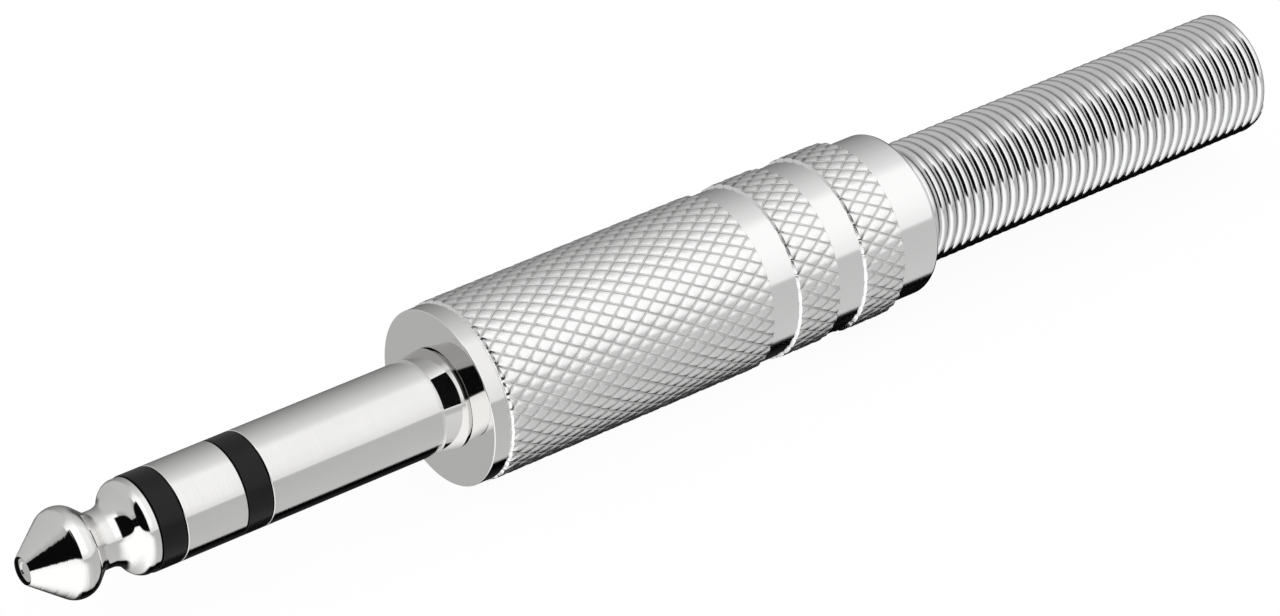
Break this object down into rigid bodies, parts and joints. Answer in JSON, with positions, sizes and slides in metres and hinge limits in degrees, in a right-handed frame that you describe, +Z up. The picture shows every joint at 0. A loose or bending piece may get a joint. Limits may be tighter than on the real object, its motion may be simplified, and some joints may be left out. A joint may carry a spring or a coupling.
{
  "type": "stereo jack plug",
  "caption": "Three-pole jack plug for a 6.35 mm socket, with a knurled screw-on metal barrel and a coil spring strain relief at the cable entry.",
  "frame": {"origin": "on the plug's axis, in the plane of the flange's front face that seats on the socket", "axes": "+X along the axis from the flange towards the cable, so the tip points to -X; +Z up, opposite the arm of the sleeve tag; +Y completes the right-handed set"},
  "size_m": [0.0992, 0.0122, 0.0122],
  "materials": {
    "polished_nickel": "turned brass, bright nickel plated and polished",
    "satin_nickel": "turned brass, nickel plated, satin with faint turning lines",
    "knurled_nickel": "turned and diamond knurled brass, bright nickel plated",
    "spring_wire": "round spring steel wire, nickel plated and polished",
    "tinned_brass": "stamped brass sheet, tin plated",
    "dark_insulator": "moulded glossy black plastic",
    "clear_insulator": "thin extruded natural white plastic tube",
    "fibre_washer": "punched red-brown vulcanised fibre"
  },
  "bodies": {
    "plug": {"tip_contact": "polished_nickel", "front_collar": "dark_insulator", "rod_tube": "clear_insulator", "ring_contact": "satin_nickel", "rear_collar": "dark_insulator", "sleeve_tube": "clear_insulator", "sleeve_contact": "satin_nickel", "sleeve_tag": "tinned_brass", "insulating_bush": "dark_insulator", "ring_tag": "tinned_brass", "tag_washer": "fibre_washer", "tip_tag": "tinned_brass", "rivet_washer": "tinned_brass"},
    "liner": {"liner_sleeve": "clear_insulator"},
    "strain_relief": {"strain_relief_spring": "spring_wire"},
    "barrel": {"barrel": "knurled_nickel"}
  },
  "joints": [
    {"name": "barrel_draw_off", "type": "slide", "parent": "plug", "child": "liner", "axis": [1, 0, 0], "range_m": [0, 0.03]},
    {"name": "thread_advance", "type": "slide", "parent": "liner", "child": "strain_relief", "axis": [1, 0, 0], "range_m": [0, 0.0053]},
    {"name": "barrel_unscrew", "type": "hinge", "parent": "strain_relief", "child": "barrel", "pos_m": [0, 0, 0], "axis": [1, 0, 0], "range_deg": [0, 2520]}
  ],
  "couplings": [
    {"joint": "thread_advance", "follows": "barrel_unscrew", "m_per_rad": 0.00011937}
  ]
}
